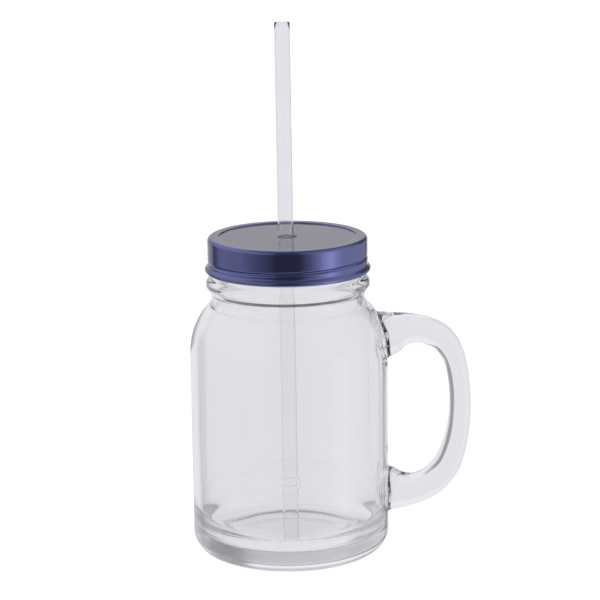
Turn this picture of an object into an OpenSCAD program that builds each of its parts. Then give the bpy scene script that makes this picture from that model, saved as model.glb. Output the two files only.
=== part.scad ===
// Handled glass drinking jar with a screw closure and a straw.
// Millimetres, +Z up. The origin is on the jar's axis, in the plane of the ring it stands on.
// The handle points along +X.

/* [Jar glass] */
// Outside diameter of the straight body
body_d = 89; // [86:0.5:96]
// Height of the glass from the standing ring to the mouth rim
glass_h = 143.3; // [138:0.1:160]
// Thickness of the body wall
wall = 3.3; // [2.5:0.1:4]
// Thickness of the bottom at its centre, over the push-up
floor_t = 5; // [4:0.5:8]
// Radius of the rounded outside heel
heel_r = 9; // [7:0.5:10]
// Radius of the rounded inside heel
inner_heel_r = 15.5; // [10:0.5:17]
// Radius of the convex shoulder
shoulder_r = 32; // [30:0.5:34]
// Depth of the hollow under the bottom
punt_depth = 2.4; // [1:0.1:3]

/* [Jar finish, 70 mm regular mouth] */
// Inside diameter of the mouth
mouth_d = 61; // [59:0.5:61]
// Outside diameter of the neck under the bead
neck_d = 68.5; // [68:0.1:69]
// Outside diameter of the bead under the thread
bead_d = 73.4; // [72.5:0.1:74]
// Outside diameter of the bare finish between the threads
finish_d = 67.6; // [67:0.1:68]
// Outside diameter over the glass thread
thread_d = 70.2; // [69.8:0.1:70.3]
// Rise of the thread in one turn, five turns to the inch
pitch = 5.08; // [5.08:0.01:5.08]

/* [Handle] */
// Reach of the handle's outer face from the jar's axis
handle_reach = 82; // [78:0.5:88]
// Breadth of the handle, side to side
handle_breadth = 15; // [12:0.5:17]

/* [Closure] */
// Outside diameter of the screw band's skirt
band_d = 71.6; // [71.6:0.1:72]
// Diameter of the opening in the band's flat top
band_opening = 61.6; // [60:0.2:62]
// Height of the band from its curled edge to its flat top
band_h = 15.5; // [15:0.1:16.5]
// Thickness of the band and disc sheet
sheet = 0.4; // [0.3:0.05:0.45]
// Depth of the thread rolled into the band
groove_depth = 0.75; // [0.6:0.05:0.8]
// Diameter of the lid disc
disc_d = 69.4; // [68.8:0.1:69.8]
// Drop of the disc's middle below its raised ring
panel_drop = 0.4; // [0.2:0.05:0.5]
// Diameter of the hole for the straw
straw_hole_d = 9; // [8.4:0.1:10]
// Thickness of the sealing ring bonded under the disc
seal_t = 0.6; // [0.4:0.05:0.8]

/* [Straw] */
// Outside diameter of the straw
straw_d = 7; // [6:0.1:7.2]
// Thickness of the straw's wall
straw_wall = 0.45; // [0.3:0.05:0.6]
// Length of the straw
straw_l = 234; // [200:1:240]
// Lean of the straw towards the back of the jar, in degrees
straw_lean = 11; // [8:0.5:11.5]

/* [Hidden] */
$fn = 128;

glass_tint = [0.86, 0.89, 0.90, 0.35];
lacquer_blue = [0.12, 0.13, 0.42];
compound_grey = [0.62, 0.62, 0.60];
straw_clear = [0.93, 0.94, 0.96, 0.5];

body_r = body_d / 2;
inner_r = body_r - wall;
mouth_r = mouth_d / 2;
neck_r = neck_d / 2;
finish_r = finish_d / 2;
bead_r = bead_d / 2;
thread_r = thread_d / 2;
band_r = band_d / 2;
band_in_r = band_r - sheet;
disc_r = disc_d / 2;

// Distances below the rim, so that the finish keeps its size on a taller jar
neck_below_rim = 25.3;
bead_below_rim = 19.7;
shoulder_below_rim = 51.3;
inner_shoulder_below_rim = 50.8;
inner_neck_below_rim = 22.8;

neck_z = glass_h - neck_below_rim;
bead_z = glass_h - bead_below_rim;
bead_half_h = 3.8;
// Height between the bead's upper side and the bare finish
bead_step = 0.4;
shoulder_z = glass_h - shoulder_below_rim;
inner_shoulder_z = glass_h - inner_shoulder_below_rim;
inner_neck_z = glass_h - inner_neck_below_rim;
rim_r = 1.5;
mouth_edge_r = 1;
floor_z = punt_depth + floor_t;
// How far a cutting shape runs past what it cuts
past = 1;
// Width of the flat ring the jar stands on, and of the slope from it up into the hollow
standing_w = 1.5;
hollow_slope_w = 4.5;

// Closure heights: seal on the rim, disc on the seal, band on the disc
seat_gap = 0.05;
seal_z = glass_h + seat_gap;
ring_top_z = seal_z + seal_t + sheet;
band_under_z = ring_top_z + seat_gap;
band_top_z = band_under_z + sheet;
panel_top_z = ring_top_z - panel_drop;
band_bottom_z = band_top_z - band_h;

// A thread's height is given where it would face the handle, and its ends as turns from there in degrees
thread_above_curl = 1.5;
band_thread_z = band_bottom_z + thread_above_curl;
band_thread_start = 80;
// The glass thread lies above the band's, so that turning the band pulls it down
thread_lead = 1.9;
glass_thread_z = band_thread_z + thread_lead;
glass_thread_start = -60;
thread_end = 400;
// Widths of a thread across its foot and its crest: on the glass, inside the band and in the band's groove
glass_thread_w = [2.6, 1.1];
band_ridge_w = [2.6, 1.2];
band_groove_w = [2.0, 0.8];
// How deep the ridge inside the band is sunk into its sheet
ridge_sunk = 0.28;

arc_steps = 10;
function arc(cx, cz, r, a0, a1, n = arc_steps) =
    [for (i = [0:n]) let (a = a0 + (a1 - a0) * i / n) [cx + r * cos(a), cz + r * sin(a)]];

// Convex shoulder arc of radius r, then the concave arc that meets it and ends upright at the neck
function shoulder(r_low, z_low, r, r_top, z_top) =
    let (
        inset = r_low - r_top,
        h = z_top - z_low,
        a = r - inset,
        r2 = (a * a + h * h - r * r) / (2 * inset),
        turn = atan2(h, a + r2)
    )
    concat(
        arc(r_low - r, z_low, r, 0, turn),
        arc(r_top + r2, z_top, r2, 180 + turn, 180)
    );

// Outside of the wall from the standing ring to the neck, for the body and to cut the handle's roots
outside_wall = concat(
    arc(body_r - heel_r, heel_r, heel_r, -90, 0),
    shoulder(body_r, shoulder_z, shoulder_r, neck_r, neck_z)
);

// Underside with its hollow, from the middle out to the wall
hollow_edge_r = body_r - heel_r - standing_w;
underside = [[0, punt_depth], [hollow_edge_r - hollow_slope_w, punt_depth], [hollow_edge_r, 0]];

// Bead, bare finish and rounded rim
outer_finish = concat(
    arc(bead_r - bead_half_h, bead_z, bead_half_h, -60, 60),
    [[finish_r, bead_z + bead_half_h + bead_step]],
    arc(finish_r - rim_r, glass_h - rim_r, rim_r, 0, 90),
    arc(mouth_r + mouth_edge_r, glass_h - mouth_edge_r, mouth_edge_r, 90, 180)
);

// Inside of the jar, from the mouth down to the middle of the floor
function reversed(p) = [for (i = [len(p) - 1:-1:0]) p[i]];
inner_rise = concat(
    [[0, floor_z]],
    arc(inner_r - inner_heel_r, floor_z + inner_heel_r, inner_heel_r, -90, 0),
    shoulder(inner_r, inner_shoulder_z, shoulder_r - wall, mouth_r, inner_neck_z)
);

// Section of a thread ridge: [distance out from the surface, height], widest at its sunken foot
function ridge(depth, widths, sunk = 0.5) =
    let (foot = widths[0] / 2, crest = widths[1] / 2, flank = (foot + crest) / 2, flank_at = depth * 0.55)
    [[-sunk, -foot], [flank_at, -flank], [depth, -crest], [depth, crest], [flank_at, flank], [-sunk, foot]];

// Share of the full depth along a thread that fades out over its first and last degrees
thread_fade = 25;
// How far past the surface the strip's ends lift, as a share of the depth
end_lift = 0.25;
function fade(a, a0, a1) =
    min(1, (a - a0) / thread_fade - end_lift, (a1 - a) / thread_fade - end_lift);

// Right-hand helical strip with the given section; outward is 1 or -1
module helix_strip(base_r, z0, a0, a1, section, outward) {
    step = 10;
    n = round((a1 - a0) / step);
    m = len(section);
    points = [
        for (i = [0:n], p = section)
            let (
                a = a0 + i * step,
                k = fade(a, a0, a1),
                r = base_r + outward * (p[0] > 0 ? p[0] * k : p[0]),
                z = z0 + pitch * a / 360 + p[1] * (0.5 + 0.5 * max(0, k))
            )
            [r * cos(a), r * sin(a), z]
    ];
    sides = [
        for (i = [0:n - 1], j = [0:m - 1])
            let (b = i * m, c = b + m, k = (j + 1) % m)
            [b + j, b + k, c + k, c + j]
    ];
    caps = [[for (j = [m - 1:-1:0]) j], [for (j = [0:m - 1]) n * m + j]];
    faces = concat(sides, caps);
    polyhedron(points, outward > 0 ? faces : [for (f = faces) reversed(f)], convexity = 8);
}

// Small raised oval ring on the front of the body, with nothing in it
oval_w = 9;
oval_h = 5;
oval_line = 1.2;
oval_z = 43.6;
oval_proud = 0.35;

module oval(w, h) {
    for (side = [-1, 1]) translate([side * (w - h) / 2, 0]) circle(d = h);
    square([w - h, h], center = true);
}

module oval_mark() {
    intersection() {
        cylinder(r = body_r + oval_proud, h = glass_h);
        translate([0, -body_r + past, oval_z])
            rotate([90, 0, 0])
                linear_extrude(2 * past)
                    difference() {
                        oval(oval_w, oval_h);
                        oval(oval_w - 2 * oval_line, oval_h - 2 * oval_line);
                    }
    }
}

module jar_body() {
    color(glass_tint) {
        rotate_extrude()
            polygon(concat(underside, outside_wall, outer_finish, reversed(inner_rise)));
        helix_strip(
            finish_r, glass_thread_z, glass_thread_start, thread_end,
            ridge(thread_r - finish_r, glass_thread_w), 1
        );
        oval_mark();
    }
}

// Stations along the middle of the handle, top root first:
// [distance from the axis short of the full reach, height, thickness, breadth to full breadth]
handle_stations = [
    [45.0, 99.0, 21.5, 1.04],
    [37.0, 99.6, 19.8, 1.03],
    [31.4, 101.1, 15.2, 1.01],
    [25.0, 101.5, 12.3, 1.0],
    [18.4, 100.1, 11.6, 1.0],
    [11.6, 95.8, 11.0, 1.0],
    [6.8, 85.5, 10.0, 1.0],
    [4.8, 69.0, 9.5, 1.0],
    [6.0, 52.5, 10.2, 1.0],
    [10.4, 38.6, 11.6, 1.0],
    [16.5, 31.0, 12.2, 1.0],
    [22.5, 27.4, 12.8, 1.0],
    [27.8, 26.1, 14.0, 1.01],
    [33.0, 26.0, 17.0, 1.03],
    [38.0, 26.8, 21.0, 1.04],
    [43.0, 27.2, 22.5, 1.04]
];

// Smooth curve through four neighbouring stations
function spline(a, b, c, d, t) =
    0.5 * (2 * b + (c - a) * t + (2 * a - 5 * b + 4 * c - d) * t * t
        + (3 * b - a - 3 * c + d) * t * t * t);

spans = len(handle_stations) - 1;
span_steps = 4;
function station(i) = handle_stations[max(0, min(spans, i))];
handle_line = [
    for (i = [0:spans - 1], s = [0:span_steps - 1])
        spline(station(i - 1), station(i), station(i + 1), station(i + 2), s / span_steps),
    station(spans)
];

// Rounded section of the handle: a superellipse between an ellipse and a box
handle_sides = 20;
handle_power = 0.85;
function bulge(v) = sign(v) * pow(abs(v), handle_power);

module handle_bar() {
    last = len(handle_line) - 1;
    m = handle_sides;
    points = [
        for (i = [0:last])
            let (
                p = handle_line[i],
                before = handle_line[max(0, i - 1)],
                after = handle_line[min(last, i + 1)],
                dx = before[0] - after[0],
                dz = after[1] - before[1],
                long = norm([dx, dz])
            )
            for (j = [0:m - 1])
                let (
                    a = 360 * j / m,
                    across = bulge(cos(a)) * p[2] / 2,
                    side = bulge(sin(a)) * p[3] * handle_breadth / 2
                )
                [
                    handle_reach - p[0] - across * dz / long,
                    side,
                    p[1] + across * dx / long
                ]
    ];
    sides = [
        for (i = [0:last - 1], j = [0:m - 1])
            let (b = i * m, c = b + m, k = (j + 1) % m)
            [b + j, b + k, c + k, c + j]
    ];
    caps = [[for (j = [m - 1:-1:0]) j], [for (j = [0:m - 1]) last * m + j]];
    polyhedron(points, concat(sides, caps), convexity = 6);
}

module handle() {
    color(glass_tint)
        difference() {
            handle_bar();
            rotate_extrude() polygon(concat([[0, 0]], outside_wall, [[0, neck_z]]));
        }
}

// Sheet outline of the band: hemmed opening, flat top, rounded shoulder, skirt and curled edge
curl_r = 0.85;
curl_out = 1.3;
band_edge_r = 1.0;
// Heights from the curl's centre: the start of the skirt's flare, the join to the sheet, the inner corner
curl_flare = 0.9;
curl_join = 0.5;
curl_corner = 0.1;

module screw_band() {
    curl_x = band_r + curl_out - curl_r;
    curl_z = band_bottom_z + curl_r;
    hem_r = band_opening / 2 + sheet / 2;
    edge_in_r = band_edge_r - sheet;
    color(lacquer_blue)
        difference() {
            union() {
                rotate_extrude() {
                    polygon(concat(
                        [[hem_r, band_under_z], [hem_r, band_top_z]],
                        arc(band_r - band_edge_r, band_top_z - band_edge_r, band_edge_r, 90, 0, 6),
                        [[band_r, curl_z + curl_flare], [curl_x, curl_z + curl_join],
                            [curl_x, curl_z - curl_join], [band_in_r, curl_z + curl_corner]],
                        arc(band_in_r - edge_in_r, band_under_z - edge_in_r, edge_in_r, 0, 90, 4)
                    ));
                    translate([curl_x, curl_z]) circle(r = curl_r, $fn = 32);
                    translate([hem_r, band_under_z + sheet / 2])
                        circle(d = sheet, $fn = 24);
                }
                helix_strip(
                    band_in_r, band_thread_z, band_thread_start, thread_end,
                    ridge(groove_depth, band_ridge_w, ridge_sunk), -1
                );
            }
            helix_strip(
                band_r, band_thread_z, band_thread_start, thread_end,
                ridge(groove_depth, band_groove_w), -1
            );
        }
}

// Disc: flat panel, a step up to the ring over the rim, and a turned-down edge
step_w = 0.6;
lip_h = 1.1;

module lid_disc() {
    step_out = band_opening / 2;
    step_in = step_out - step_w;
    ring_z = ring_top_z - sheet;
    panel_z = panel_top_z - sheet;
    color(lacquer_blue)
        difference() {
            rotate_extrude() {
                polygon(concat(
                    [[0, panel_z], [step_in, panel_z], [step_out, ring_z], [disc_r - sheet, ring_z],
                        [disc_r - sheet, ring_top_z - lip_h], [disc_r, ring_top_z - lip_h]],
                    arc(disc_r - sheet, ring_top_z - sheet, sheet, 0, 90, 4),
                    [[step_out, ring_top_z], [step_in, panel_top_z], [0, panel_top_z]]
                ));
            }
            translate([0, 0, panel_z - past]) cylinder(d = straw_hole_d, h = sheet + 2 * past);
        }
}

// How far the ring starts inside the band's metal and ends outside the bare finish
seal_inset = 0.1;
seal_overhang = 0.3;

module sealing_ring() {
    inner = band_opening / 2 + seal_inset;
    outer = finish_r + seal_overhang;
    color(compound_grey)
        translate([0, 0, seal_z])
            difference() {
                cylinder(r = outer, h = seal_t);
                translate([0, 0, -past]) cylinder(r = inner, h = seal_t + 2 * past);
            }
}

// The straw's middle line passes this point in the disc's hole and leans back and a little left
straw_hole_offset = [-0.7, 0.3];
straw_side_lean = 0.3;
// Length of straw below the hole, down to the floor of the jar
straw_below = (panel_top_z - floor_z - seat_gap) / cos(straw_lean) - straw_d / 2 * tan(straw_lean);

module straw() {
    color(straw_clear)
        translate([straw_hole_offset[0], straw_hole_offset[1], panel_top_z])
            rotate([-straw_lean, -straw_side_lean, 0])
                translate([0, 0, -straw_below])
                    difference() {
                        cylinder(d = straw_d, h = straw_l, $fn = 48);
                        translate([0, 0, -past])
                            cylinder(d = straw_d - 2 * straw_wall, h = straw_l + 2 * past, $fn = 48);
                    }
}

jar_body();
handle();
screw_band();
lid_disc();
sealing_ring();
straw();
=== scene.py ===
import math

import bpy
import numpy as np
from mathutils import Euler, Matrix, Vector


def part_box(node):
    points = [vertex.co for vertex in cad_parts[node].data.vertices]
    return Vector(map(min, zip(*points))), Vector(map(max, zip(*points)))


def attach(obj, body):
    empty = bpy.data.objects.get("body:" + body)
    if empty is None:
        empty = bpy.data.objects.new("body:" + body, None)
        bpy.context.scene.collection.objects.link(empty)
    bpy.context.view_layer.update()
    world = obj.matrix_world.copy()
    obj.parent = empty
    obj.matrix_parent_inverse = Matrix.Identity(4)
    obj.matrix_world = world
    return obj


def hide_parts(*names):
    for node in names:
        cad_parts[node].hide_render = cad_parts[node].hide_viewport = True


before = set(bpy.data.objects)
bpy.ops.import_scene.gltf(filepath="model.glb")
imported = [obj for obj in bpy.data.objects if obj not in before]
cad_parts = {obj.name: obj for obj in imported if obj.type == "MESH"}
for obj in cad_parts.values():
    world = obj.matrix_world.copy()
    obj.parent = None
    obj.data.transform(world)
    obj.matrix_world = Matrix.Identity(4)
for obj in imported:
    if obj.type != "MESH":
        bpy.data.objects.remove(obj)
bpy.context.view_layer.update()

MM = 0.001

# ---------------------------------------------------------------- sizes taken from the frame
_, jar_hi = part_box("jar_body")
_, handle_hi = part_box("handle")
band_lo, band_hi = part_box("screw_band")
_, disc_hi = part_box("lid_disc")
seal_lo, seal_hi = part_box("sealing_ring")

BODY_R = jar_hi.x
RIM_Z = jar_hi.z
REACH = handle_hi.x
BAND_TOP = band_hi.z
BAND_BOTTOM = band_lo.z
CURL_R = band_hi.x
DISC_R = disc_hi.x
DISC_TOP = disc_hi.z

# Glass
WALL = 3.3 * MM
MOUTH_R = 30.5 * MM
NECK_R = 34.25 * MM
FINISH_R = 33.8 * MM
THREAD_R = 35.1 * MM
BEAD_R = 36.7 * MM
BEAD_HALF = 3.8 * MM
RIM_R = 1.5 * MM
MOUTH_EDGE_R = 1 * MM
HEEL_R = 9 * MM
INNER_HEEL_R = 15.5 * MM
SHOULDER_R = 32 * MM
NECK_Z = RIM_Z - 25.3 * MM
BEAD_Z = RIM_Z - 19.7 * MM
SHOULDER_Z = RIM_Z - 51.3 * MM
INNER_NECK_Z = NECK_Z + 0.8 * MM
INNER_SHOULDER_Z = SHOULDER_Z + 0.5 * MM
FLOOR_Z = 7.4 * MM
FLOOR_CROWN_Z = FLOOR_Z + 0.5 * MM
PUNT_DEPTH = 2.4 * MM
PUNT_CROWN_Z = 3 * MM
STIPPLE_TOP = 3.1 * MM
STIPPLE_FADE = 0.4 * MM
# Nearest an outline comes to the axis before its last loop closes on one point
CENTRE_R = 2 * MM

# Closure
BAND_R = 35.8 * MM
SHEET = 0.25 * MM
GROOVE_DEPTH = 0.75 * MM
OPENING_R = 30.8 * MM
PANEL_DROP = 0.1 * MM
HOLE_R = 4.5 * MM

# Threads: height where each would face the handle, first and last degree, half width, degrees to fade over
PITCH = 5.08 * MM
BAND_THREAD_Z = BAND_BOTTOM + 1.5 * MM
BAND_THREAD = (BAND_THREAD_Z, 80, 400, 1.05 * MM, 30)
GLASS_THREAD = (BAND_THREAD_Z + 1.9 * MM, -60, 400, 1.35 * MM, 25)

# Straw
STRAW_R = 3.5 * MM
STRAW_WALL = 0.35 * MM
STRAW_LENGTH = 234 * MM
STRAW_LEAN = math.radians(11)
STRAW_SIDE_LEAN = math.radians(0.3)
STRAW_AT = Vector((-0.7 * MM, 0.3 * MM, DISC_TOP - 0.4 * MM))
STRAW_RINGS = 60
STRAW_COLUMNS = 48
# Length of straw below the hole, ending just clear of the jar's floor
STRAW_BELOW = 138.37 * MM

TURN = 2 * math.pi
COLUMNS = 192


# ---------------------------------------------------------------- outlines
def arc(cx, cz, r, a0, a1, n):
    """n + 1 points of an arc, angles in degrees."""
    a = np.radians(np.linspace(a0, a1, n + 1))
    return np.stack([cx + r * np.cos(a), cz + r * np.sin(a)], 1)


def shoulder(r_low, z_low, r, r_top, z_top, n):
    """Convex arc of radius r, then the concave arc that meets it and ends upright at the neck."""
    inset, h = r_low - r_top, z_top - z_low
    a = r - inset
    r2 = (a * a + h * h - r * r) / (2 * inset)
    turn = math.degrees(math.atan2(h, a + r2))
    low = arc(r_low - r, z_low, r, 0, turn, n)
    high = arc(r_top + r2, z_top, r2, 180 + turn, 180, n)
    return np.vstack([low, high[1:]])


def along(points):
    """Distance of each point along its polyline."""
    step = np.linalg.norm(np.diff(points, axis=0), axis=1)
    return np.concatenate([[0], np.cumsum(step)])


def resample(points, n):
    """n + 1 evenly spaced points on a polyline."""
    s = along(points)
    t = np.linspace(0, s[-1], n + 1)
    return np.stack([np.interp(t, s, points[:, k]) for k in range(points.shape[1])], 1)


# ---------------------------------------------------------------- mesh helpers
class Mesh:
    """Vertices and faces being collected for one piece."""

    def __init__(self):
        self.verts = []
        self.faces = []

    def add(self, points):
        start = len(self.verts)
        self.verts.extend(tuple(p) for p in points)
        return list(range(start, len(self.verts)))

    def band(self, a, b):
        """Quads between two closed loops of the same length, b inside or above a."""
        n = len(a)
        for i in range(n):
            k = (i + 1) % n
            self.faces.append((a[i], a[k], b[k], b[i]))

    def fan(self, loop, tip):
        n = len(loop)
        for i in range(n):
            self.faces.append((loop[i], loop[(i + 1) % n], tip))

    def object(self, name, material):
        used = sorted({v for f in self.faces for v in f})
        new = {v: i for i, v in enumerate(used)}
        data = bpy.data.meshes.new(name)
        data.from_pydata(
            [self.verts[v] for v in used], [], [[new[v] for v in f] for f in self.faces]
        )
        data.validate()
        data.shade_smooth()
        data.materials.append(material)
        obj = bpy.data.objects.new(name, data)
        bpy.context.scene.collection.objects.link(obj)
        return obj


def ring(r, z, n=COLUMNS):
    a = np.linspace(0, TURN, n, endpoint=False)
    r = np.broadcast_to(r, a.shape)
    z = np.broadcast_to(z, a.shape)
    return np.stack([r * np.cos(a), r * np.sin(a), z], 1)


def revolved(name, outline, material, n=COLUMNS):
    """Closed solid of revolution from a closed outline, counter-clockwise in (r, z)."""
    m = Mesh()
    loops = [m.add(ring(r, z, n)) for r, z in outline]
    for a, b in zip(loops, loops[1:] + loops[:1]):
        m.band(a, b)
    return m.object(name, material)


# ---------------------------------------------------------------- materials
def node_material(name):
    mat = bpy.data.materials.new(name)
    mat.use_nodes = True
    nodes = mat.node_tree.nodes
    return mat, nodes, mat.node_tree.links, nodes["Principled BSDF"]


def noise_bump(nodes, links, shader, scale, strength, distance, detail=3, stretch=(1, 1, 1)):
    """Fine unevenness of a surface, in object space."""
    coords = nodes.new("ShaderNodeTexCoord")
    mapping = nodes.new("ShaderNodeMapping")
    mapping.inputs["Scale"].default_value = stretch
    noise = nodes.new("ShaderNodeTexNoise")
    noise.inputs["Scale"].default_value = scale
    noise.inputs["Detail"].default_value = detail
    bump = nodes.new("ShaderNodeBump")
    bump.inputs["Strength"].default_value = strength
    bump.inputs["Distance"].default_value = distance
    links.new(coords.outputs["Object"], mapping.inputs["Vector"])
    links.new(mapping.outputs["Vector"], noise.inputs["Vector"])
    links.new(noise.outputs["Fac"], bump.inputs["Height"])
    links.new(bump.outputs["Normal"], shader.inputs["Normal"])


def glass_material():
    mat, nodes, links, shader = node_material("clear_glass")
    shader.inputs["Base Color"].default_value = (0.975, 0.98, 0.975, 1)
    shader.inputs["Roughness"].default_value = 0.0
    shader.inputs["IOR"].default_value = 1.52
    shader.inputs["Transmission Weight"].default_value = 1.0
    noise_bump(
        nodes, links, shader, scale=45, strength=0.05, distance=0.5 * MM, detail=1, stretch=(1, 1, 0.5),
    )
    # Frosted where it stands, below STIPPLE_TOP
    coords = nodes.new("ShaderNodeTexCoord")
    split = nodes.new("ShaderNodeSeparateXYZ")
    ramp = nodes.new("ShaderNodeMapRange")
    ramp.inputs["From Min"].default_value = STIPPLE_TOP
    ramp.inputs["From Max"].default_value = STIPPLE_TOP + STIPPLE_FADE
    ramp.inputs["To Min"].default_value = 0.3
    ramp.inputs["To Max"].default_value = 0.0
    links.new(coords.outputs["Object"], split.inputs["Vector"])
    links.new(split.outputs["Z"], ramp.inputs["Value"])
    links.new(ramp.outputs["Result"], shader.inputs["Roughness"])
    return mat


def lacquer_material(name, edge_tint):
    mat, nodes, links, shader = node_material(name)
    shader.inputs["Metallic"].default_value = 1.0
    shader.inputs["Base Color"].default_value = (0.150, 0.170, 0.42, 1)
    shader.inputs["Specular Tint"].default_value = edge_tint + (1,)
    shader.inputs["Roughness"].default_value = 0.22
    shader.inputs["Coat Weight"].default_value = 1.0
    shader.inputs["Coat Roughness"].default_value = 0.04
    shader.inputs["Coat IOR"].default_value = 1.5
    noise_bump(nodes, links, shader, scale=900, strength=0.05, distance=0.1 * MM, detail=2)
    return mat


def enamel_material():
    mat, nodes, links, shader = node_material("inside_enamel")
    shader.inputs["Base Color"].default_value = (0.82, 0.82, 0.80, 1)
    shader.inputs["Roughness"].default_value = 0.35
    noise_bump(nodes, links, shader, scale=900, strength=0.05, distance=0.1 * MM, detail=2)
    return mat


def compound_material():
    mat, nodes, links, shader = node_material("sealing_compound")
    shader.inputs["Base Color"].default_value = (0.62, 0.62, 0.6, 1)
    shader.inputs["Roughness"].default_value = 0.6
    noise_bump(nodes, links, shader, scale=700, strength=0.2, distance=0.2 * MM)
    return mat


def straw_material():
    mat, nodes, links, shader = node_material("straw_plastic")
    shader.inputs["Base Color"].default_value = (0.985, 0.985, 0.99, 1)
    shader.inputs["Roughness"].default_value = 0.03
    shader.inputs["IOR"].default_value = 1.4
    shader.inputs["Transmission Weight"].default_value = 1.0
    noise_bump(
        nodes, links, shader, scale=300, strength=0.1, distance=0.2 * MM, detail=1, stretch=(1, 1, 0.1),
    )
    return mat


GLASS = glass_material()
BAND_LACQUER = lacquer_material("band_lacquer", (0.04, 0.035, 0.08))
DISC_LACQUER = lacquer_material("disc_lacquer", (0.03, 0.025, 0.06))
ENAMEL = enamel_material()
COMPOUND = compound_material()
STRAW_PLASTIC = straw_material()

# ---------------------------------------------------------------- jar and handle, one piece of glass
FRONT = COLUMNS * 3 // 4
ROOT_CELLS = (20, 18)
MARK_CELLS = (10, 6)
TOP_ROOT_Z = 99.4 * MM
LOW_ROOT_Z = 26.5 * MM
MARK_Z = 43.6 * MM
MARK_W = 9 * MM
MARK_H = 5 * MM
MARK_PROUD = 0.18 * MM
# Rings of the mark from its edge in: inset in millimetres, share of its full height
MARK_RINGS = [
    (0.2, 0.5), (0.35, 1), (0.55, 1), (0.7, 0.5), (0.9, 0), (1.2, 0), (1.6, 0), (2.0, 0), (2.3, 0),
]

# Stations along the middle of the handle, top root first:
# distance short of the full reach, height and thickness in millimetres, breadth to full breadth
HANDLE_STATIONS = np.array([
    [45.0, 99.0, 21.5, 1.04],
    [37.0, 99.6, 19.8, 1.03],
    [31.4, 101.1, 15.2, 1.01],
    [25.0, 101.5, 12.3, 1.0],
    [18.4, 100.1, 11.6, 1.0],
    [11.6, 95.8, 11.0, 1.0],
    [6.8, 85.5, 10.0, 1.0],
    [4.8, 69.0, 9.5, 1.0],
    [6.0, 52.5, 10.2, 1.0],
    [10.4, 38.6, 11.6, 1.0],
    [16.5, 31.0, 12.2, 1.0],
    [22.5, 27.4, 12.8, 1.0],
    [27.8, 26.1, 14.0, 1.01],
    [33.0, 26.0, 17.0, 1.03],
    [38.0, 26.8, 21.0, 1.04],
    [43.0, 27.2, 22.5, 1.04],
])
HANDLE_BREADTH = 15 * MM
HANDLE_POWER = 0.7
HANDLE_RINGS = 72
# Reach of the fillets along the handle, then along the wall: to each side, outside it, in the grip
FILLET_OUT = 2.6 * MM
TOP_FILLET = (2.2 * MM, 2 * MM, 3.2 * MM)
LOW_FILLET = (2.2 * MM, 1.6 * MM, 2.8 * MM)
FILLET_STEPS = 10
HEEL_ROWS = 13
WALL_ROWS = 63

# Outside of the wall from the standing ring to the neck, as one path that the handle's roots lie on
wall_path = np.vstack([
    arc(BODY_R - HEEL_R, HEEL_R, HEEL_R, -90, 0, 60),
    shoulder(BODY_R, SHOULDER_Z, SHOULDER_R, NECK_R, NECK_Z, 120),
])
wall_s = along(wall_path)
heel_end = HEEL_R * math.pi / 2
rows_s = np.concatenate([
    np.linspace(0, heel_end, HEEL_ROWS),
    np.linspace(heel_end, wall_s[-1], WALL_ROWS)[1:],
])


def wall_at(s):
    return np.array([np.interp(s, wall_s, wall_path[:, 0]), np.interp(s, wall_s, wall_path[:, 1])])


def s_at_height(z):
    return float(np.interp(z, wall_path[:, 1], wall_s))


def wall_step(s):
    """Direction along the wall's path, as (outward, up)."""
    near = 0.2 * MM
    step = wall_at(s + near) - wall_at(s - near)
    return step / np.linalg.norm(step)


def wall_point(angle, s, proud=0.0):
    """Point on the outside of the wall, proud of it along its normal."""
    out, up = wall_step(s)
    r, z = wall_at(s) + proud * np.array([up, -out])
    return np.array([r * math.cos(angle), r * math.sin(angle), z])


def thread_ridge(angle, z, thread):
    """Share, 0 to 1, of a right-hand thread's height at a point of the wall."""
    z0, start, end, half_width, fade = thread
    total = np.zeros(np.broadcast(angle, z).shape)
    for lap in range(-1, 3):
        a = np.degrees(angle) + 360 * lap
        ends = np.clip(np.minimum((a - start) / fade, (end - a) / fade), 0, 1)
        off = np.abs(z - z0 - PITCH * a / 360) / half_width
        crest = 0.5 + 0.5 * np.cos(np.pi * np.clip(off, 0, 1))
        total = np.maximum(total, crest * ends)
    return total


def unevenness(angle, z):
    """Slow change in the thickness of pressed glass, under a tenth of a millimetre."""
    h = z / MM
    return 0.03 * MM * (
        np.sin(2 * angle + 0.9 + h / 31)
        + 0.6 * np.sin(3 * angle - h / 19 + 2.1)
        + 0.5 * np.sin(5 * angle + h / 13)
        + 0.4 * np.sin(9 * angle - h / 23)
    )


def outline_below_wall():
    """Underside, from near its middle out to the standing ring."""
    edge = BODY_R - HEEL_R
    return resample(np.array([
        [CENTRE_R, PUNT_CROWN_Z], [16 * MM, 2.9 * MM], [edge - 8 * MM, PUNT_DEPTH],
        [edge - 3.5 * MM, 0.9 * MM], [edge - 1 * MM, 0.05 * MM],
    ]), 18)


def outline_of_finish():
    """Bead, bare wall of the finish and rounded rim, from the neck up to the mouth."""
    under_bead = shoulder(BEAD_R, 0, BEAD_HALF, NECK_R, BEAD_Z - NECK_Z, 8)[::-1] * (1, -1) + (0, BEAD_Z)
    return np.vstack([
        under_bead[1:],
        arc(BEAD_R - BEAD_HALF, BEAD_Z, BEAD_HALF, 0, 60, 8)[1:],
        resample(np.array([[FINISH_R, BEAD_Z + BEAD_HALF + 0.4 * MM], [FINISH_R, RIM_Z - RIM_R]]), 34),
        arc(FINISH_R - RIM_R, RIM_Z - RIM_R, RIM_R, 0, 90, 6)[1:],
        arc(MOUTH_R + MOUTH_EDGE_R, RIM_Z - MOUTH_EDGE_R, MOUTH_EDGE_R, 90, 180, 5),
    ])


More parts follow.
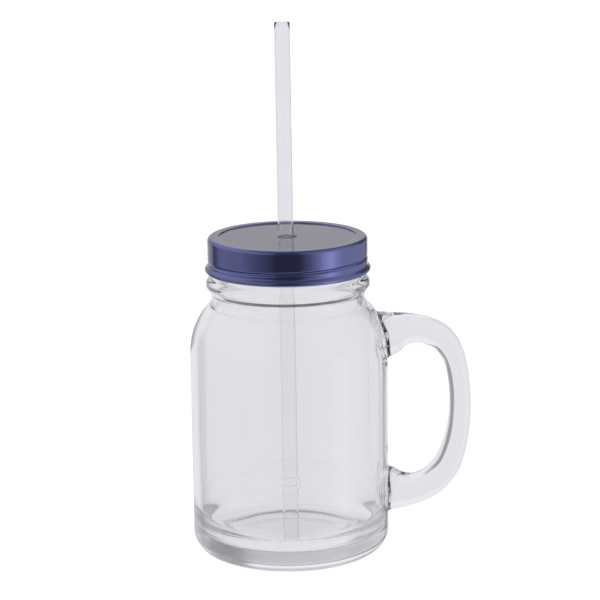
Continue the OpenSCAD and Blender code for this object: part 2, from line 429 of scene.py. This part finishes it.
def outline_inside():
    """Inside, from the mouth down to near the middle of the floor."""
    inner_r = BODY_R - WALL
    rise = shoulder(inner_r, INNER_SHOULDER_Z, SHOULDER_R - WALL, MOUTH_R, INNER_NECK_Z, 18)
    heel = arc(inner_r - INNER_HEEL_R, FLOOR_Z + INNER_HEEL_R, INNER_HEEL_R, 0, -90, 20)
    floor_end = np.array([heel[-1], [18 * MM, FLOOR_Z], [CENTRE_R, FLOOR_CROWN_Z]])
    return np.vstack([
        resample(np.array([[MOUTH_R, RIM_Z - MOUTH_EDGE_R], rise[-1]]), 8)[1:],
        rise[::-1][1:],
        resample(np.array([rise[0], heel[0]]), 36)[1:],
        heel[1:],
        resample(floor_end, 12)[1:],
    ])


def block_border(loops, column, row, cells):
    """Rim of a block of cells, counter-clockwise from the middle of its right side.

    Gives its vertices, and the angle and path length of each.
    """
    wide, high = cells
    left, right = column - wide // 2, column + wide // 2
    mid = high // 2
    steps = [(right, r) for r in range(mid, high)]
    steps += [(c, high) for c in range(right, left, -1)]
    steps += [(left, r) for r in range(high, 0, -1)]
    steps += [(c, 0) for c in range(left, right)]
    steps += [(right, r) for r in range(mid)]
    verts = [loops[row + r][c % COLUMNS] for c, r in steps]
    places = np.array([[TURN * c / COLUMNS, rows_s[row + r]] for c, r in steps])
    return verts, places


def patch(m, verts, places, angle0, s0, half_w, above, below, rings):
    """Fills a block in to an oval round (angle0, s0).

    Gives its last loop, and the turn of each of that loop's points round the oval.
    """
    r0 = wall_at(s0)[0]
    across, up = r0 * (places[:, 0] - angle0) / half_w, places[:, 1] - s0
    turn = np.arctan2(up / np.where(up > 0, above, below), across)
    height = np.where(np.sin(turn) > 0, above, below) * np.sin(turn)
    foot = np.stack([angle0 + half_w * np.cos(turn) / r0, s0 + height], 1)
    last = verts
    for t in np.linspace(0, 1, rings + 1)[1:]:
        loop = m.add([wall_point(a, s) for a, s in places + (foot - places) * t])
        m.band(last, loop)
        last = loop
    return last, turn


def raised_oval(m, verts, places):
    """Low raised line round an oval on the front, with nothing in it."""
    s0 = s_at_height(MARK_Z)
    r0 = wall_at(s0)[0]
    middle = np.array([TURN * 0.75, s0])
    loop, turn = patch(m, verts, places, middle[0], s0, MARK_W / 2, MARK_H / 2, MARK_H / 2, 3)
    for inset, proud in MARK_RINGS:
        half = np.array([(MARK_W / 2 - inset * MM) / r0, MARK_H / 2 - inset * MM])
        at = middle + half * np.stack([np.cos(turn), np.sin(turn)], 1)
        new = m.add([wall_point(a, s, proud * MARK_PROUD) for a, s in at])
        m.band(loop, new)
        loop = new
    m.fan(loop, m.add([wall_point(*middle)])[0])


def spline_at(stations, t):
    i = min(int(t), len(stations) - 2)
    f = t - i
    a, b, c, d = (stations[max(0, min(len(stations) - 1, i + k))] for k in (-1, 0, 1, 2))
    return 0.5 * (2 * b + (c - a) * f + (2 * a - 5 * b + 4 * c - d) * f**2
                  + (3 * b - a - 3 * c + d) * f**3)


def handle_line():
    """Rings of the free part of the handle: x, z, thickness and breadth, evenly spaced."""
    steps = np.linspace(0, len(HANDLE_STATIONS) - 1, 40 * (len(HANDLE_STATIONS) - 1) + 1)
    line = np.array([spline_at(HANDLE_STATIONS, t) for t in steps])
    line[:, 0] = REACH / MM - line[:, 0]
    line *= np.array([MM, MM, MM, HANDLE_BREADTH])
    clear = line[:, 0] - np.interp(line[:, 1], wall_path[:, 1], wall_path[:, 0]) > FILLET_OUT
    free = np.nonzero(clear)[0]
    return resample(line[free[0]:free[-1] + 1], HANDLE_RINGS)


def handle_section(ring_at, tangent, turn):
    """Superellipse round the handle's middle line; turn 90 degrees is the upper or outer side."""
    x, z, thick, broad = ring_at
    out = np.sign(np.sin(turn)) * np.abs(np.sin(turn)) ** HANDLE_POWER * thick / 2
    side = np.sign(np.cos(turn)) * np.abs(np.cos(turn)) ** HANDLE_POWER * broad / 2
    return np.stack([x - out * tangent[1], side, z + out * tangent[0]], 1)


def fillet(m, foot_loop, section, beyond):
    """Loops of a smooth curve that leaves the wall along it and meets the handle along it."""
    foot = np.array([m.verts[v] for v in foot_loop])
    r = np.linalg.norm(foot[:, :2], axis=1)
    steps = np.array([wall_step(s_at_height(z)) for z in foot[:, 2]])
    normal = np.stack([foot[:, 0] / r * steps[:, 1], foot[:, 1] / r * steps[:, 1], -steps[:, 0]], 1)
    towards = section.mean(0) - foot
    towards -= normal * (towards * normal).sum(1)[:, None]
    towards /= np.linalg.norm(towards, axis=1)[:, None]
    reach = np.linalg.norm(section - foot, axis=1)[:, None]
    direction = (beyond - section) / np.linalg.norm(beyond - section, axis=1)[:, None]
    loops = []
    for t in np.linspace(0, 1, FILLET_STEPS + 1)[1:-1]:
        h00, h10 = 2 * t**3 - 3 * t**2 + 1, t**3 - 2 * t**2 + t
        h01, h11 = -2 * t**3 + 3 * t**2, t**3 - t**2
        loops.append(m.add(h00 * foot + h10 * reach * towards + h01 * section + h11 * reach * direction))
    return loops


def sweep_handle(m, top, low):
    """The handle between two blocks let out of the wall, each given as its border's verts and places."""
    line = handle_line()
    tangent = np.gradient(line[:, :2], axis=0)
    tangent /= np.linalg.norm(tangent, axis=1)[:, None]

    def root(border, ring_at, fillets, up):
        side, outside, grip = fillets
        half = ring_at[2] / 2
        above, below = (half + outside, half + grip) if up else (half + grip, half + outside)
        return patch(m, *border, 0.0, s_at_height(ring_at[1]), ring_at[3] / 2 + side, above, below, 2)

    top_loop, top_turn = root(top, line[0], TOP_FILLET, True)
    low_loop, low_turn = root(low, line[-1], LOW_FILLET, False)
    flip = [(-i) % len(low_loop) for i in range(len(low_loop))]
    low_loop, low_turn = [low_loop[i] for i in flip], -low_turn[flip]
    low_turn = top_turn + (low_turn - top_turn + math.pi) % TURN - math.pi

    turns = [top_turn + (low_turn - top_turn) * t for t in np.linspace(0, 1, len(line))]
    sections = [handle_section(*of_ring) for of_ring in zip(line, tangent, turns)]
    chain = [top_loop] + fillet(m, top_loop, sections[0], sections[1])
    chain += [m.add(section) for section in sections]
    chain += fillet(m, low_loop, sections[-1], sections[-2])[::-1] + [low_loop]
    for a, b in zip(chain, chain[1:]):
        m.band(a, b)


def fused_glass():
    m = Mesh()
    angles = np.linspace(0, TURN, COLUMNS, endpoint=False)
    loops = [m.add(ring(r, z)) for r, z in outline_below_wall()]
    first_wall = len(loops)
    loops += [m.add(ring(*wall_at(s))) for s in rows_s]
    wall_loops = loops[first_wall:]
    for r, z in outline_of_finish():
        ridge = thread_ridge(angles, z, GLASS_THREAD)
        height = THREAD_R - FINISH_R if math.isclose(r, FINISH_R) else 0.0
        loops.append(m.add(ring(r + height * ridge, z)))
    for r, z in outline_inside():
        uneven = unevenness(angles, z) if r > BODY_R - WALL - INNER_HEEL_R and z < INNER_NECK_Z else 0.0
        loops.append(m.add(ring(r + uneven, z)))

    # The wall's cells, with a block let out for each root of the handle and for the mark
    def block(column, z, cells):
        return column, int(np.argmin(abs(rows_s - s_at_height(z)))) - cells[1] // 2, cells

    low = block(0, LOW_ROOT_Z, ROOT_CELLS)
    top = block(0, TOP_ROOT_Z, ROOT_CELLS)
    mark = block(FRONT, MARK_Z, MARK_CELLS)
    let_out = {
        (first_wall + row + i, (column - wide // 2 + j) % COLUMNS)
        for column, row, (wide, high) in (low, top, mark)
        for i in range(high)
        for j in range(wide)
    }
    for i, (a, b) in enumerate(zip(loops, loops[1:])):
        for j in range(COLUMNS):
            k = (j + 1) % COLUMNS
            if (i, j) not in let_out:
                m.faces.append((a[j], a[k], b[k], b[j]))
    m.fan(loops[0][::-1], m.add([(0, 0, PUNT_CROWN_Z)])[0])
    m.fan(loops[-1], m.add([(0, 0, FLOOR_CROWN_Z)])[0])
    raised_oval(m, *block_border(wall_loops, *mark))
    sweep_handle(m, block_border(wall_loops, *top), block_border(wall_loops, *low))
    return m.object("jar_glass", GLASS)


jar_glass = fused_glass()
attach(jar_glass, "jar")
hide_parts("jar_body", "handle")

# ---------------------------------------------------------------- screw band
BAND_COLUMNS = 288


def offset_outline(path, thickness):
    """Closed outline of a sheet of that thickness along an open path, with rounded ends."""
    past_end = thickness * 0.35
    step = np.gradient(path, axis=0)
    step /= np.linalg.norm(step, axis=1)[:, None]
    side = np.stack([-step[:, 1], step[:, 0]], 1) * thickness / 2
    start = path[0] - step[0] * past_end
    end = path[-1] + step[-1] * past_end
    return np.vstack([path + side, [end], (path - side)[::-1], [start]])


def sheet_piece(name, path, columns, dent, lacquer):
    """Sheet metal revolved from the middle line of its section, lacquered outside, enamelled inside."""
    outline = offset_outline(path, SHEET)[::-1]
    angles = np.linspace(0, TURN, columns, endpoint=False)
    m = Mesh()
    loops = [m.add(ring(r - dent(r, z, angles), z, columns)) for r, z in outline]
    for a, b in zip(loops, loops[1:] + loops[:1]):
        m.band(a, b)
    piece = m.object(name, lacquer)
    piece.data.materials.append(ENAMEL)
    for face in piece.data.polygons:
        inside = 1 <= face.index // columns < len(path)
        face.material_index = int(inside)
    return piece


def screw_band():
    half = SHEET / 2
    top = BAND_TOP - half
    out = BAND_R - half
    hem_r = 0.28 * MM
    top_start = OPENING_R + 0.5 * MM
    edge_r = 1.6 * MM - half
    curl_w, curl_h = 0.72 * MM, 0.9 * MM
    curl_x = CURL_R - curl_w - half
    curl_z = BAND_BOTTOM + curl_h + half
    curl_start_z = curl_z + 0.2 * MM
    flare_z = curl_z + 2.1 * MM
    down = np.linspace(0, 1, 10)
    flare = np.stack([
        out + (curl_x + curl_w - out) * (0.5 - 0.5 * np.cos(math.pi * down)),
        flare_z + (curl_start_z - flare_z) * down,
    ], 1)
    path = np.vstack([
        arc(OPENING_R + hem_r, top - hem_r, hem_r, 200, 90, 6),
        resample(np.array([[top_start, top], [out - edge_r, top]]), 8)[1:-1],
        arc(out - edge_r, top - edge_r, edge_r, 90, 0, 10),
        resample(np.array([[out, top - edge_r], [out, flare_z]]), 56)[1:-1],
        flare,
        arc(0, 0, 1, 0, -200, 20) * (curl_w, curl_h) + (curl_x, curl_z),
    ])
    # The groove is on the skirt only, and fades out above the curl
    skirt_depth = 1 * MM
    groove_start_z = curl_z + 1 * MM
    groove_fade = 1.2 * MM

    def dent(r, z, angles):
        if abs(r - out) > skirt_depth or z > top - edge_r:
            return 0.0
        clear_of_curl = min(1.0, max(0.0, (z - groove_start_z) / groove_fade))
        return GROOVE_DEPTH * clear_of_curl * thread_ridge(angles, z, BAND_THREAD)

    return sheet_piece("band_shell", path, BAND_COLUMNS, dent, BAND_LACQUER)


band_shell = screw_band()
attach(band_shell, "band")
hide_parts("screw_band")


# ---------------------------------------------------------------- lid disc and its seal
def lid_disc():
    half = SHEET / 2
    ring_top = DISC_TOP - half
    panel = ring_top - PANEL_DROP
    hole_edge_r = 0.15 * MM
    lip_r = 0.6 * MM
    panel_r = (HOLE_R + 0.5 * MM, OPENING_R - 1.4 * MM)
    step_r = (OPENING_R - 1.1 * MM, OPENING_R - 0.5 * MM)
    rim_r = (OPENING_R - 0.1 * MM, DISC_R - 0.7 * MM)
    path = np.vstack([
        arc(HOLE_R + hole_edge_r, panel - hole_edge_r, hole_edge_r, 220, 90, 6),
        resample(np.array([[panel_r[0], panel], [panel_r[1], panel]]), 20),
        resample(np.array([[step_r[0], panel], [step_r[1], ring_top]]), 4),
        resample(np.array([[rim_r[0], ring_top], [rim_r[1], ring_top]]), 6),
        arc(DISC_R - lip_r - half, ring_top - lip_r, lip_r, 80, 0, 5),
    ])
    return sheet_piece("disc_shell", path, COLUMNS, lambda r, z, angles: 0.0, DISC_LACQUER)


disc_shell = lid_disc()
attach(disc_shell, "lid")
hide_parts("lid_disc")


def sealing_ring():
    """Flat ring with soft lower edges and a shallow dip where the rim presses."""
    low, high = seal_lo.z, seal_hi.z
    inner, outer = OPENING_R + 0.1 * MM, FINISH_R + 0.3 * MM
    half_way = (low + high) / 2
    mid = (inner + outer) / 2
    draft = 0.05 * MM
    edge_r = 0.25 * MM
    edge_in = 0.5 * MM
    dip_w = 0.5 * MM
    dip_low, dip_high = low + 0.02 * MM, low + 0.1 * MM
    outline = np.vstack([
        [[inner, high], [inner + draft, half_way]],
        arc(inner + edge_in, low + edge_r, edge_r, 200, 270, 3),
        [[mid - dip_w, dip_low], [mid, dip_high], [mid + dip_w, dip_low]],
        arc(outer - edge_in, low + edge_r, edge_r, 270, 340, 3),
        [[outer - draft, half_way], [outer, high]],
    ])
    return revolved("seal_ring", outline, COMPOUND)


seal_ring = sealing_ring()
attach(seal_ring, "lid")
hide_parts("sealing_ring")


# ---------------------------------------------------------------- straw
def straw():
    inner = STRAW_R - STRAW_WALL
    soft = 0.12 * MM
    heights = np.linspace(0, STRAW_LENGTH, STRAW_RINGS)[1:-1]
    outline = np.vstack([
        [[inner + soft, 0], [STRAW_R - soft, 0], [STRAW_R, soft]],
        np.stack([np.full(len(heights), STRAW_R), heights], 1),
        [[STRAW_R, STRAW_LENGTH - soft], [STRAW_R - soft, STRAW_LENGTH]],
        [[inner + soft, STRAW_LENGTH], [inner, STRAW_LENGTH - soft]],
        np.stack([np.full(len(heights), inner), heights[::-1]], 1),
        [[inner, soft]],
    ])
    tube = revolved("straw_tube", outline, STRAW_PLASTIC, STRAW_COLUMNS)
    lean = Matrix.Rotation(-STRAW_SIDE_LEAN, 4, "Y") @ Matrix.Rotation(-STRAW_LEAN, 4, "X")
    tube.data.transform(Matrix.Translation(STRAW_AT) @ lean @ Matrix.Translation((0, 0, -STRAW_BELOW)))
    return tube


straw_tube = straw()
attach(straw_tube, "tube")
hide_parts("straw")

# ---------------------------------------------------------------- stage and studio
scene = bpy.context.scene

# Brightness of the studio near the table's level, by azimuth round the jar: 0 in front, +X at 90
STUDIO_LOW = [
    (-180, 0.82), (-140, 0.80), (-130, 0.22), (-126, 0.22), (-116, 0.5), (-100, 0.5), (-84, 0.44),
    (-72, 0.45), (-58, 0.34), (-44, 0.24), (-26, 0.17), (-18, 0.08), (18, 0.08), (28, 0.24),
    (45, 0.55), (55, 0.95), (65, 1.25), (76, 0.85), (86, 0.65), (100, 0.65), (128, 0.75),
    (146, 0.75), (149, 0.3), (156, 0.3), (160, 0.82), (180, 0.82),
]
# The same above the softboxes
STUDIO_HIGH = [
    (-180, 0.86), (-130, 0.8), (-100, 0.65), (-60, 0.6), (-35, 0.5), (-14, 0.12), (14, 0.12),
    (35, 0.5), (60, 0.6), (100, 0.6), (122, 0.55), (134, 0.25), (164, 0.25), (171, 0.86), (180, 0.86),
]
# The same for what is seen through the glass, which has a lighter room in front of it
THROUGH_LOW = [
    (-180, 0.82), (-140, 0.80), (-131, 0.5), (-125, 0.5), (-112, 0.68), (-40, 0.66), (40, 0.68),
    (100, 0.68), (128, 0.75), (146, 0.75), (149, 0.3), (156, 0.3), (160, 0.82), (180, 0.82),
]
THROUGH_HIGH = [
    (-180, 0.86), (-130, 0.8), (-40, 0.66), (40, 0.68), (100, 0.65), (128, 0.62), (138, 0.3),
    (156, 0.3), (164, 0.86), (180, 0.86),
]
STUDIO_TINT = (0.99, 0.98, 1.04)
# Brightness of the table's side of the room, and of the ceiling as reflected and as seen through glass
STUDIO_FLOOR = 0.85
STUDIO_TOP = 0.2
THROUGH_TOP = 0.6
# Elevations between which the softboxes, the ceiling and the table's side fade in or out
BOX_TOP = (0, 8)
CEILING = (50, 70)
TABLE = (-50, -30)
FLOOR_SIDE = 60.0
FLOOR_GLOW = 0.88


def level_ramp(nodes, links, angle, stops):
    """Brightness as a function of an angle in degrees, between stops of (angle, brightness)."""
    low, high = stops[0][0], stops[-1][0]
    place = nodes.new("ShaderNodeMapRange")
    place.inputs["From Min"].default_value = low
    place.inputs["From Max"].default_value = high
    links.new(angle, place.inputs["Value"])
    ramp = nodes.new("ShaderNodeValToRGB")
    ramp.color_ramp.interpolation = "EASE"
    points = ramp.color_ramp.elements
    while len(points) < len(stops):
        points.new(0.5)
    for i, (at, level) in enumerate(stops):
        points[i].position = (at - low) / (high - low)
        points[i].color = (level, level, level, 1)
    links.new(place.outputs["Result"], ramp.inputs["Fac"])
    return ramp.outputs["Color"]


def set_or_link(links, socket, value):
    if isinstance(value, bpy.types.NodeSocket):
        links.new(value, socket)
    else:
        socket.default_value = value


def math_node(nodes, links, operation, a, b):
    node = nodes.new("ShaderNodeMath")
    node.operation = operation
    set_or_link(links, node.inputs[0], a)
    set_or_link(links, node.inputs[1], b)
    return node.outputs[0]


def mix(nodes, links, share, a, b, kind="MIX"):
    node = nodes.new("ShaderNodeMix")
    node.data_type = "RGBA"
    node.blend_type = kind
    set_or_link(links, node.inputs[0], share)
    set_or_link(links, node.inputs[6], a)
    set_or_link(links, node.inputs[7], b)
    return node.outputs[2]


def grey(level):
    return (level, level, level, 1)


def studio_world():
    """Softboxes at the sides, a white backdrop behind and a darker room between them."""
    world = bpy.data.worlds.new("studio")
    world.use_nodes = True
    nodes, links = world.node_tree.nodes, world.node_tree.links
    coords = nodes.new("ShaderNodeTexCoord")
    split = nodes.new("ShaderNodeSeparateXYZ")
    links.new(coords.outputs["Generated"], split.inputs[0])
    front = math_node(nodes, links, "MULTIPLY", split.outputs["Y"], -1.0)
    azimuth = math_node(nodes, links, "ARCTAN2", split.outputs["X"], front)
    azimuth = math_node(nodes, links, "MULTIPLY", azimuth, 180 / math.pi)
    elevation = math_node(nodes, links, "ARCSINE", split.outputs["Z"], 0.0)
    elevation = math_node(nodes, links, "MULTIPLY", elevation, 180 / math.pi)
    above = level_ramp(nodes, links, elevation, [(-90, 0), (BOX_TOP[0], 0), (BOX_TOP[1], 1), (90, 1)])
    top = level_ramp(nodes, links, elevation, [(-90, 0), (CEILING[0], 0), (CEILING[1], 1), (90, 1)])
    table = level_ramp(nodes, links, elevation, [(-90, 1), (TABLE[0], 1), (TABLE[1], 0), (90, 0)])

    def room(low_levels, high_levels, ceiling):
        low = level_ramp(nodes, links, azimuth, low_levels)
        high = level_ramp(nodes, links, azimuth, high_levels)
        colour = mix(nodes, links, above, low, high)
        colour = mix(nodes, links, top, colour, grey(ceiling))
        return mix(nodes, links, table, colour, grey(STUDIO_FLOOR))

    light_path = nodes.new("ShaderNodeLightPath")
    reflected = room(STUDIO_LOW, STUDIO_HIGH, STUDIO_TOP)
    through = room(THROUGH_LOW, THROUGH_HIGH, THROUGH_TOP)
    colour = mix(nodes, links, light_path.outputs["Is Transmission Ray"], reflected, through)
    colour = mix(nodes, links, 1.0, colour, STUDIO_TINT + (1,), "MULTIPLY")
    colour = mix(nodes, links, light_path.outputs["Is Camera Ray"], colour, grey(1.0))
    links.new(colour, nodes["Background"].inputs["Color"])
    return world


def stage_floor():
    mat, nodes, links, shader = node_material("pale_floor")
    shader.inputs["Base Color"].default_value = grey(0.5)
    shader.inputs["Roughness"].default_value = 0.9
    shader.inputs["Specular IOR Level"].default_value = 0.0
    shader.inputs["Emission Color"].default_value = grey(1.0)
    shader.inputs["Emission Strength"].default_value = FLOOR_GLOW
    half = FLOOR_SIDE / 2
    corners = [(-half, -half, 0), (half, -half, 0), (half, half, 0), (-half, half, 0)]
    data = bpy.data.meshes.new("floor")
    data.from_pydata(corners, [], [(0, 1, 2, 3)])
    data.materials.append(mat)
    floor = bpy.data.objects.new("floor", data)
    scene.collection.objects.link(floor)
    floor.visible_glossy = False
    floor.visible_transmission = False


scene.world = studio_world()
stage_floor()
scene.view_settings.view_transform = "Standard"
scene.cycles.max_bounces = 24
scene.cycles.transmission_bounces = 24
scene.cycles.glossy_bounces = 24
scene.cycles.transparent_max_bounces = 16

# The camera looks a little down on the jar, from in front and a little to its right
IMAGE_W = 600
SENSOR_W = 36
FOCAL_PX = 2400
CAMERA_X = 5.3 * MM
CAMERA_DISTANCE = 1.077
LOOK_Z = 115.2 * MM
PITCH_DOWN = math.radians(13.05)
ROLL = math.radians(-0.75)


def photo_camera():
    data = bpy.data.cameras.new("camera")
    data.sensor_width = SENSOR_W
    data.lens = FOCAL_PX / IMAGE_W * SENSOR_W
    camera = bpy.data.objects.new("camera", data)
    back = CAMERA_DISTANCE * math.cos(PITCH_DOWN)
    up = CAMERA_DISTANCE * math.sin(PITCH_DOWN)
    camera.location = (CAMERA_X, -back, LOOK_Z + up)
    look = Euler((math.radians(90) - PITCH_DOWN, 0, 0)).to_matrix()
    camera.rotation_euler = (look @ Matrix.Rotation(ROLL, 3, "Z")).to_euler()
    scene.collection.objects.link(camera)
    return camera


scene.camera = photo_camera()
